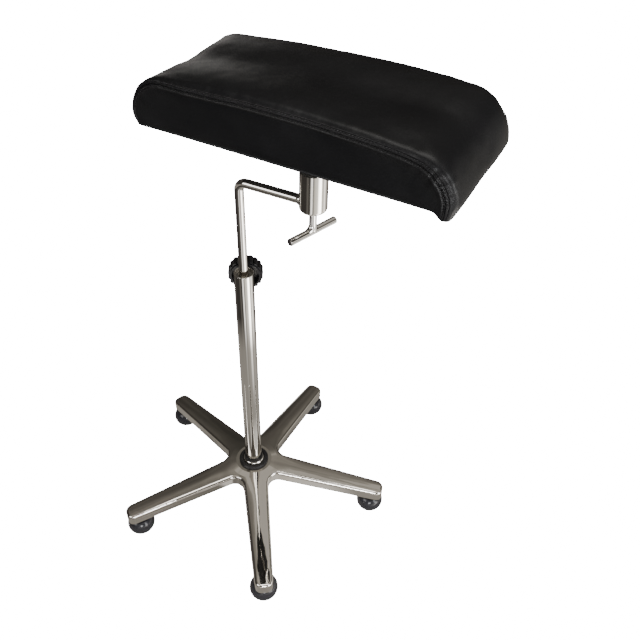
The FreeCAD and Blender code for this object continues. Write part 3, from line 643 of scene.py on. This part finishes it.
seam_depth = 0.012
right_sag, right_sag_width = 0.006, 0.05
left_lift, left_lift_width = 0.0065, 0.07


def fold_depth(along):
    # The folded seam lies further below the ridge at the right bend, and rides up at the left one.
    sag = right_sag * hump(along, right_bend, right_sag_width)
    lift = left_lift * hump(along, left_bend, left_lift_width)
    return seam_depth + sag - lift


round_start = shoulder_drop + edge_radius
round_length = edge_radius * math.pi / 2
shoulder = half_width - edge_radius
ridge_place = half_width * ridge_place_share


def panel_point(distance, depth, trough):
    # Across the long panel, from its fold: place from the middle, and depth under the ridge.
    straight = depth - round_start
    if distance < straight:
        return half_width, depth - distance
    if distance < straight + round_length:
        angle = (distance - straight) / edge_radius
        return shoulder + edge_radius * math.cos(angle), round_start - edge_radius * math.sin(angle)
    across = max(shoulder - (distance - straight - round_length), 0.0)
    if across > ridge_place:
        return across, shoulder_drop * ((across - ridge_place) / (shoulder - ridge_place)) ** 2
    return across, trough * (0.5 + 0.5 * math.cos(math.pi * across / ridge_place)) ** 1.5


foot_lean_share = 0.86
foot_lean_power = 0.8
fold_blend = 0.012


def side_fall(along, depth):
    # The fold's place on the side panel, and the foot of the line that falls from it.
    x, z, out_x, out_z = ridge_line(along)
    fold = Vector((x - out_x * depth, 0.0, z - out_z * depth))
    rest = min(along, wrap_length - along)
    if rest < foot_and_bend:
        end_x = half_length - end_tuck - depth
        bend_x = abs(ridge_line(foot_and_bend)[0]) * foot_lean_share
        foot_x = end_x - (end_x - bend_x) * (rest / foot_and_bend) ** foot_lean_power
        foot_x *= -1 if along < wrap_length / 2 else 1
    else:
        foot_x = fold.x * foot_lean_share
    return fold, Vector((foot_x, 0.0, 0.0))


def cover_place(along, side, distance):
    # A point of the cover by its distance from the fold, negative on the side panel.
    depth = fold_depth(along)
    if distance < 0:
        fold, foot = side_fall(along, depth)
        fall = max((foot - fold).length, 1e-9)
        point = fold.lerp(foot, min(-distance / fall, 1.0))
        fold_gap = half_width - panel_point(0.0, depth, 0.0)[0]
        across = half_width - fold_gap * (1 - smooth_step(-distance, 0.0, fold_blend))
        return Vector((point.x, side * across, point.z))
    x, z, out_x, out_z = ridge_line(along)
    rest = min(along, wrap_length - along)
    trough = trough_depth * (end_trough_share + (1 - end_trough_share) * smooth_step(rest, 0.02, 0.15))
    across, under = panel_point(distance, depth, trough)
    return Vector((x - out_x * under, side * across, z - out_z * under))


end_draw_loss = 0.85
end_margin = 0.015
far_twist = 0.0052
near_twist = 0.0024


def shaped(point):
    # The sides lean in towards the board, less so at the ends, and the right end is a little twisted.
    height_share = min(max(point.z / (pad_height - round_start), 0.0), 1.0)
    at_end = smooth_step(abs(point.x), end_centre - end_margin, half_length - end_margin)
    draw = side_draw * (1 - height_share) * (1 - end_draw_loss * at_end)
    point.y *= 1 - draw / half_width
    sideways = point.y / half_width
    lengthways = point.x / half_length
    twist = far_twist if sideways > 0 else near_twist
    point.z += twist * sideways * smooth_step(lengthways, -0.35, 0.75) * height_share
    return point


# The mesh follows the cover: rows along the pad, close together at the fold, and stations across it
near_rows = [0.0, 0.0012, 0.0025, 0.004, 0.006, 0.009, 0.013, 0.018]
near_low_count = 5
middle_row_count = 9
low_row_count = 7
row_count = 2 * (near_low_count + low_row_count + len(near_rows) + middle_row_count) - 1
station_count = 84
station_crowding = 0.05
full_fall = 0.04


def evenly_on(rows, span, count):
    # More rows at equal steps over a span past the last one.
    return [rows[-1] + span * (step + 1) / count for step in range(count)]


def side_rows(along, side):
    # One side's rows, from the foot of the side panel to the middle of the long panel.
    depth = fold_depth(along)
    fold, foot = side_fall(along, depth)
    fall = (foot - fold).length
    squeeze = min(1.0, fall / full_fall)
    lows = [distance * squeeze for distance in near_rows[1:near_low_count + 1]]
    lows += evenly_on(lows, fall - lows[-1], low_row_count)
    span = depth - round_start + round_length + shoulder - near_rows[-1]
    highs = near_rows + evenly_on(near_rows, span, middle_row_count)
    distances = [-distance for distance in reversed(lows)] + highs
    return [(cover_place(along, side, distance), distance) for distance in distances]


def station_place(index):
    # Closer together round the ends than along the middle.
    share = index / (station_count - 1)
    return wrap_length * (share - station_crowding * math.sin(4 * math.pi * share) / 2)


cover = bmesh.new()
bmesh.ops.create_grid(cover, x_segments=row_count - 1, y_segments=station_count - 1, size=0.5)
seam_layer = cover.verts.layers.float.new("seam_distance")
along_layer = cover.verts.layers.float.new("seam_along")
cover_rows = {}
for vert in cover.verts:
    row = round((vert.co.x + 0.5) * (row_count - 1))
    station = round((vert.co.y + 0.5) * (station_count - 1))
    if station not in cover_rows:
        along = station_place(station)
        cover_rows[station] = (along, side_rows(along, -1) + side_rows(along, 1)[-2::-1])
    along, rows = cover_rows[station]
    place, distance = rows[row]
    vert.co = place
    vert[seam_layer] = distance
    vert[along_layer] = along
bmesh.ops.remove_doubles(cover, verts=cover.verts, dist=0.00002)


def draw_out(shape, edges):
    # The new points and edges of an open outline that is extruded.
    geometry = bmesh.ops.extrude_edge_only(shape, edges=edges)["geom"]
    new_verts = [item for item in geometry if isinstance(item, bmesh.types.BMVert)]
    new_edges = [item for item in geometry if isinstance(item, bmesh.types.BMEdge)]
    return new_verts, new_edges


# The cover's lower edge is turned under the board all round, and the shell is closed above it
hem_mark = -1.0
hem_steps = [(0.0012, -0.0003), (0.004, -0.0004), (0.014, -0.0004), (0.0145, 0.0004)]
hem_before = 0.0
for inward, drop in hem_steps:
    rim = [edge for edge in cover.edges if edge.is_boundary]
    for vert in draw_out(cover, rim)[0]:
        vert.co.x *= 1 - (inward - hem_before) / half_length
        vert.co.y *= 1 - (inward - hem_before) / half_width
        vert.co.z = drop
        vert[seam_layer] = hem_mark
    hem_before = inward
spine_half_length = half_length - half_width * 0.9
rim = [edge for edge in cover.edges if edge.is_boundary]
for vert in draw_out(cover, rim)[0]:
    vert.co.x *= spine_half_length / half_length
    vert.co.y = 0.0
    vert[seam_layer] = hem_mark
bmesh.ops.remove_doubles(cover, verts=cover.verts, dist=0.0004)
bmesh.ops.recalc_face_normals(cover, faces=cover.faces)

# A lump hangs where the front seam ends, at the right
lump_place = Vector((half_length - end_tuck - 0.011, -half_width + side_draw + 0.001, 0.004))
lump_pull = Vector((0.0008, -0.001, -0.0105))
lump_radius = 0.0095
lump_drop = 0.0068
for vert in cover.verts:
    if vert[seam_layer] > hem_mark:
        vert.co = shaped(vert.co)
    pull = math.exp(-((vert.co - lump_place).length / lump_radius) ** 4)
    vert.co += lump_pull * pull
    vert.co.z = max(vert.co.z, -lump_drop)
    vert.co += pad_middle
cover_data = mesh_from(cover, "leather_pad", smooth=True)


def apply_modifiers(piece):
    # The piece's mesh with its modifiers applied.
    bpy.context.view_layer.update()
    graph = bpy.context.evaluated_depsgraph_get()
    data = bpy.data.meshes.new_from_object(
        piece.evaluated_get(graph), preserve_all_data_layers=True, depsgraph=graph
    )
    piece.modifiers.clear()
    piece.data = data
    return data


def read_attribute(data, name):
    return [entry.value for entry in data.attributes[name].data]


held_from_seam = (0.005, 0.014)
held_from_foot = (0.004, 0.016)
last_frame = 20


def swell(data, cap):
    # How far each point of a mesh moves when the cover is blown up as cloth held at its seams and foot.
    balloon = linked_object("balloon", data.copy())
    even = balloon.modifiers.new("even", "REMESH")
    even.mode = "VOXEL"
    even.voxel_size = 0.005
    start_data = apply_modifiers(balloon)
    start = [vert.co.copy() for vert in start_data.vertices]
    folds = KDTree(2 * station_count)
    for number in range(2 * station_count):
        side = -1 if number < station_count else 1
        along = wrap_length * (number % station_count) / (station_count - 1)
        folds.insert(shaped(cover_place(along, side, 0.0)) + pad_middle, number)
    folds.balance()
    held = balloon.vertex_groups.new(name="held")
    for vert in start_data.vertices:
        seam_grip = 1 - smooth_step(folds.find(vert.co)[2], *held_from_seam)
        foot_grip = 1 - smooth_step(vert.co.z - pad_middle.z, *held_from_foot)
        held.add([vert.index], max(seam_grip, foot_grip), "REPLACE")
    cloth = balloon.modifiers.new("cloth", "CLOTH")
    cloth.settings.vertex_group_mass = "held"
    cloth.settings.use_pressure = True
    cloth.settings.uniform_pressure_force = 4.0
    cloth.settings.effector_weights.gravity = 0.0
    cloth.point_cache.frame_start, cloth.point_cache.frame_end = 1, last_frame
    for step in range(1, last_frame + 1):
        bpy.context.scene.frame_set(step)
    swollen = [vert.co.copy() for vert in apply_modifiers(balloon).vertices]
    bpy.context.scene.frame_set(1)
    moves = []
    for before, after in zip(start, swollen):
        move = after - before
        moves.append(move * (cap / (cap + move.length)))
    start_data.calc_loop_triangles()
    triangles = [tuple(triangle.vertices) for triangle in start_data.loop_triangles]
    tree = BVHTree.FromPolygons(start, triangles)
    found = []
    for vert in data.vertices:
        place, normal, index, distance = tree.find_nearest(vert.co)
        corners = [start[corner] for corner in triangles[index]]
        moved = [start[corner] + moves[corner] for corner in triangles[index]]
        found.append(barycentric_transform(place, *corners, *moved) - place)
    bpy.data.objects.remove(balloon)
    return found


# The panels stand a little inside the pad's outline before they swell
start_inset = 0.0012
swelling_cap = 0.006
loose_from_seam = (0.002, 0.02)
loose_from_foot = (0.006, 0.03)
seam_distances = read_attribute(cover_data, "seam_distance")
normals = [entry.vector.copy() for entry in cover_data.vertex_normals]
moves = swell(cover_data, swelling_cap)
for vert, normal, distance, move in zip(cover_data.vertices, normals, seam_distances, moves):
    if distance > hem_mark:
        above_foot = vert.co.z - pad_middle.z
        loose = smooth_step(abs(distance), *loose_from_seam) * smooth_step(above_foot, *loose_from_foot)
        vert.co += (move - normal * start_inset) * loose

pad = linked_object("leather_pad", cover_data)
subdivision = pad.modifiers.new("rounding", "SUBSURF")
subdivision.levels = subdivision.render_levels = 2
cover_data = apply_modifiers(pad)

# The long panel's edge is folded over the side panel between two sunken rows of stitches, and the
# leathercloth is puckered across the seam, most at the right bend
upper_row = 0.0030
lower_row = -0.0036
lip_height = 0.0010
pucker_height = 0.00045
fold_pucker_height = 0.0008
# Grooves and ridges along the seam, by height, distance from the fold and half width
seam_lines = [
    (-0.0010, -0.0007, 0.0007),
    (-0.0009, upper_row, 0.0010),
    (-0.0006, lower_row, 0.0011),
    (0.0004, -0.0021, 0.0008),
    (0.0003, -0.0065, 0.0022),
]


def seam_relief(distance, along, side):
    relief = lip_height * smooth_step(distance, -0.0002, 0.0007) * (1 - smooth_step(distance, 0.0015, 0.0075))
    for height, middle, width in seam_lines:
        relief += height * hump(distance, middle, width)
    pucker = noise.noise(Vector((along * 170, side * 7.3, distance * 40)))
    fold_pucker = noise.noise(Vector((along * 95, side * 3.1 + 9, distance * 22)))
    bend = hump(along, right_bend, 0.045) + 0.4 * hump(along, left_bend, 0.04)
    relief += pucker_height * pucker * hump(distance, 0.001, 0.009) * (0.7 + 0.8 * bend)
    relief += fold_pucker_height * fold_pucker * hump(distance, 0.006, 0.022) * (0.25 + 1.3 * bend)
    return relief


def broad_relief(place):
    # Two sizes of low waves over all the leathercloth.
    return 0.0007 * noise.noise(place * 22) + 0.0003 * noise.noise(place * 60 + Vector((5.0, 2.0, 8.0)))


seam_distances = read_attribute(cover_data, "seam_distance")
seam_alongs = read_attribute(cover_data, "seam_along")
normals = [entry.vector.copy() for entry in cover_data.vertex_normals]
for vert, normal, distance, along in zip(cover_data.vertices, normals, seam_distances, seam_alongs):
    place = vert.co - pad_middle
    above = smooth_step(place.z, 0.001, 0.012)
    side = -1 if place.y < 0 else 1
    if distance > hem_mark / 2:
        fading = 0.35 + 0.65 * smooth_step(place.z, 0.0, 0.01)
        vert.co += normal * (seam_relief(distance, along, side) * fading + broad_relief(place) * above)

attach(pad, "pad")
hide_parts("pad_foam", "pad_cover_top", "pad_cover_front", "pad_cover_back")

# Leathercloth: near-black, with a pebbled grain of about a millimetre, creased finely between the
# pebbles, and a little rubbed where hands and arms lie
leather, tree, shader = new_finish("leathercloth", (0.010, 0.010, 0.012), 0.0, 0.45)
place = object_place(tree)
warp = add_node(tree, "ShaderNodeTexNoise")
warp.inputs["Scale"].default_value = 420.0
tree.links.new(place, warp.inputs["Vector"])
bent_place = add_node(tree, "ShaderNodeVectorMath", operation="MULTIPLY_ADD")
tree.links.new(warp.outputs["Color"], bent_place.inputs[0])
bent_place.inputs[1].default_value = (0.0016, 0.0016, 0.0016)
tree.links.new(place, bent_place.inputs[2])
pebbles = add_node(tree, "ShaderNodeTexVoronoi", feature="SMOOTH_F1")
pebbles.inputs["Scale"].default_value = 780.0
pebbles.inputs["Smoothness"].default_value = 0.6
tree.links.new(bent_place.outputs[0], pebbles.inputs["Vector"])
crease = combine(tree, "POWER", pebbles.outputs["Distance"], 1.6)
fine = add_noise(tree, place, scale=2600.0, detail=2.0)
grain = combine(tree, "MULTIPLY", combine(tree, "MULTIPLY_ADD", fine, -0.25, crease), -1.0)
add_bump(tree, shader, grain, 0.45, 0.00016)
shader.inputs["Specular IOR Level"].default_value = 0.21
rubbed = add_noise(tree, place, scale=9.0, detail=4.0)
gloss = combine(tree, "MULTIPLY_ADD", pebbles.outputs["Distance"], 0.12, spread(tree, rubbed, 0.29, 0.38))
tree.links.new(gloss, shader.inputs["Roughness"])
worn = spread(tree, rubbed, 0.0, 1.0, start=0.35, finish=0.8)
tone = mix_colours(tree, worn, (0.0045, 0.0045, 0.0054), (0.0078, 0.0076, 0.0088))
tree.links.new(tone, shader.inputs["Base Color"])
pad.data.materials.append(leather)

# Seam stitches
# Four rows of black thread, two on each side of the pad, one above and one below the seam's
# fold. Each stitch is a short plump length of thread that sinks in at its ends.

stitch_pitch = 0.0036
stitch_length = 0.0027
thread_radius = 0.00036
tip_radius = thread_radius * 0.55
tip_depth = thread_radius * 1.6
stitch_slant = (-4.0, 7.0)
stitch = bmesh.new()
first = bmesh.ops.create_circle(stitch, cap_ends=True, segments=6, radius=tip_radius)["verts"]
bmesh.ops.rotate(stitch, verts=first, cent=(0, 0, 0), matrix=Matrix.Rotation(math.pi / 2, 3, "Y"))
bmesh.ops.translate(stitch, verts=first, vec=(-stitch_length / 2, 0, -tip_depth))
ring = [edge for edge in stitch.edges]
# Each step's share of the length, growth of the ring, and rise in thread radii
stitch_steps = [(0.12, 1.4, 0.9), (0.25, 1.25, 0.75), (0.26, 1.0, 0.0), (0.25, 0.8, -0.75), (0.12, 0.7, -0.9)]
for length_share, growth, lift in stitch_steps:
    verts, ring = draw_out(stitch, ring)
    middle = sum((vert.co for vert in verts), Vector()) / len(verts)
    bmesh.ops.scale(stitch, verts=verts, vec=(1, growth, growth), space=Matrix.Translation(-middle))
    bmesh.ops.translate(stitch, verts=verts, vec=(stitch_length * length_share, 0, thread_radius * lift))
bmesh.ops.contextual_create(stitch, geom=ring)
bmesh.ops.recalc_face_normals(stitch, faces=stitch.faces)
stitch_data = mesh_from(stitch, "one_stitch")


def add_copy(shape, data, matrix):
    # One more copy of a small mesh, turned and moved to its place.
    first_new = len(shape.verts)
    shape.from_mesh(data)
    shape.verts.ensure_lookup_table()
    bmesh.ops.transform(shape, verts=shape.verts[first_new:], matrix=matrix)


pad_tree = BVHTree.FromPolygons(
    [vert.co for vert in cover_data.vertices], [tuple(face.vertices) for face in cover_data.polygons]
)
random.seed(11)
stitches = bmesh.new()
for side in (-1, 1):
    for row in (upper_row, lower_row):
        margin = 0.006 if row > 0 else 0.016
        count = int((wrap_length - 2 * margin) / stitch_pitch)
        for number in range(count):
            along = margin + stitch_pitch * (number + 0.5)
            spots = [
                pad_tree.find_nearest(shaped(cover_place(along + shift, side, row)) + pad_middle)
                for shift in (-0.001, 0.001)
            ]
            middle = (spots[0][0] + spots[1][0]) / 2
            out = (spots[0][1] + spots[1][1]).normalized()
            run = (spots[1][0] - spots[0][0]).normalized()
            turned = Matrix((run, out.cross(run).normalized(), out)).transposed().to_4x4()
            slant = Matrix.Rotation(math.radians(random.uniform(*stitch_slant)), 4, "Z")
            to_seam = Matrix.Translation(middle + out * thread_radius * 0.5)
            add_copy(stitches, stitch_data, to_seam @ turned @ slant)
thread_data = mesh_from(stitches, "seam_stitches", smooth=True)
thread = linked_object("seam_stitches", thread_data)
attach(thread, "pad")
thread_finish, tree, shader = new_finish("black_thread", (0.013, 0.013, 0.015), 0.0, 0.5)
fibres = add_noise(tree, object_place(tree), scale=3200.0, detail=2.0)
tree.links.new(spread(tree, fibres, 0.4, 0.65), shader.inputs["Roughness"])
add_bump(tree, shader, fibres, 0.5, 0.0001)
thread_data.materials.append(thread_finish)

# Dust cloth
# A thin black felt over the underside of the board, cut a little smaller than the pad's foot.
# Its edge lies over the turned-in leathercloth, waves a little and is stapled all round.

cloth_margin = 0.009
cloth_half_length = half_length - end_tuck - cloth_margin
cloth_half_width = half_width - side_draw - cloth_margin
cloth_thickness = 0.0005
cloth_height = 0.0003
edge_drop = 0.0009
edge_sag = 0.0004
edge_wave = 0.0006
edge_tolerance = 0.0001
staple_gap = 0.026
cloth_mesh = bmesh.new()
bmesh.ops.create_grid(cloth_mesh, x_segments=96, y_segments=40, size=0.5)
for vert in cloth_mesh.verts:
    x = vert.co.x * 2 * cloth_half_length
    y = vert.co.y * 2 * cloth_half_width
    inside = min(cloth_half_length - abs(x), cloth_half_width - abs(y))
    run = x if cloth_half_width - abs(y) < cloth_half_length - abs(x) else y
    slack = 0.5 - 0.5 * math.cos(2 * math.pi * run / staple_gap)
    z = cloth_height - edge_drop * (1 - smooth_step(inside, 0.004, 0.012))
    z -= edge_sag * slack * hump(inside, 0.004, 0.006)
    vert.co = pad_middle + Vector((x, y, z))
    if abs(x) > cloth_half_length - edge_tolerance:
        vert.co -= Vector((math.copysign(edge_wave * slack, x), 0.0, 0.0))
cloth_data = mesh_from(cloth_mesh, "dust_cloth", smooth=True)
cloth = linked_object("dust_cloth", cloth_data)
thickness = cloth.modifiers.new("cloth", "SOLIDIFY")
thickness.thickness = cloth_thickness
thickness.offset = -1.0
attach(cloth, "pad")
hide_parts("pad_under_cloth")
felt, tree, shader = new_finish("dust_cloth", (0.012, 0.012, 0.013), 0.0, 0.9)
matted = add_noise(tree, object_place(tree), scale=900.0, detail=6.0)
tree.links.new(add_ramp(tree, matted, [(0.3, 0.006), (0.75, 0.03)]), shader.inputs["Base Color"])
add_bump(tree, shader, matted, 0.6, 0.0003)
cloth_data.materials.append(felt)

# Staples
# Flat wire staples, driven through the edge of the cloth into the board at equal steps, each
# a little out of line as a staple gun leaves them.

staple_width = 0.010
staple_leg = 0.0012
staple_bend = 0.0006
staple_bend_drop = 0.0004
wire_size = (0.0006, 0.0012)
staple_inset = 0.006
staple_height = -0.0014
most_lean = 7.0
most_aside = (0.002, 0.001)
staple = bmesh.new()
profile = bmesh.ops.create_grid(staple, x_segments=1, y_segments=1, size=0.5)["verts"]
bmesh.ops.scale(staple, verts=profile, vec=(*wire_size, 1))
bmesh.ops.translate(staple, verts=profile, vec=(-staple_width / 2, 0, staple_leg))
ends = [edge for edge in staple.edges]
staple_path = [
    (0, 0, -staple_leg),
    (staple_bend, 0, -staple_bend_drop),
    (staple_width - 2 * staple_bend, 0, 0),
    (staple_bend, 0, staple_bend_drop),
    (0, 0, staple_leg),
]
for move in staple_path:
    verts, ends = draw_out(staple, ends)
    bmesh.ops.translate(staple, verts=verts, vec=move)
bmesh.ops.contextual_create(staple, geom=ends)
bmesh.ops.recalc_face_normals(staple, faces=staple.faces)
staple_data = mesh_from(staple, "one_staple")
staples = bmesh.new()
spots = []
for side in (-1, 1):
    long_count = round(2 * cloth_half_length / staple_gap)
    for number in range(long_count):
        x = staple_gap * (number - (long_count - 1) / 2)
        spots.append((x, side * (cloth_half_width - staple_inset), 0.0))
    short_count = round(2 * cloth_half_width / staple_gap) - 1
    for number in range(short_count):
        y = staple_gap * (number - (short_count - 1) / 2)
        spots.append((side * (cloth_half_length - staple_inset), y, math.pi / 2))
for x, y, turn in spots:
    lean = Matrix.Rotation(turn + math.radians(random.uniform(-most_lean, most_lean)), 4, "Z")
    aside_x, aside_y = [random.uniform(-most, most) for most in most_aside]
    spot = pad_middle + Vector((x + aside_x, y + aside_y, staple_height))
    add_copy(staples, staple_data, Matrix.Translation(spot) @ lean)
staples_data = mesh_from(staples, "cloth_staples")
staple_set = linked_object("cloth_staples", staples_data)
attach(staple_set, "pad")
staples_data.materials.append(zinc)
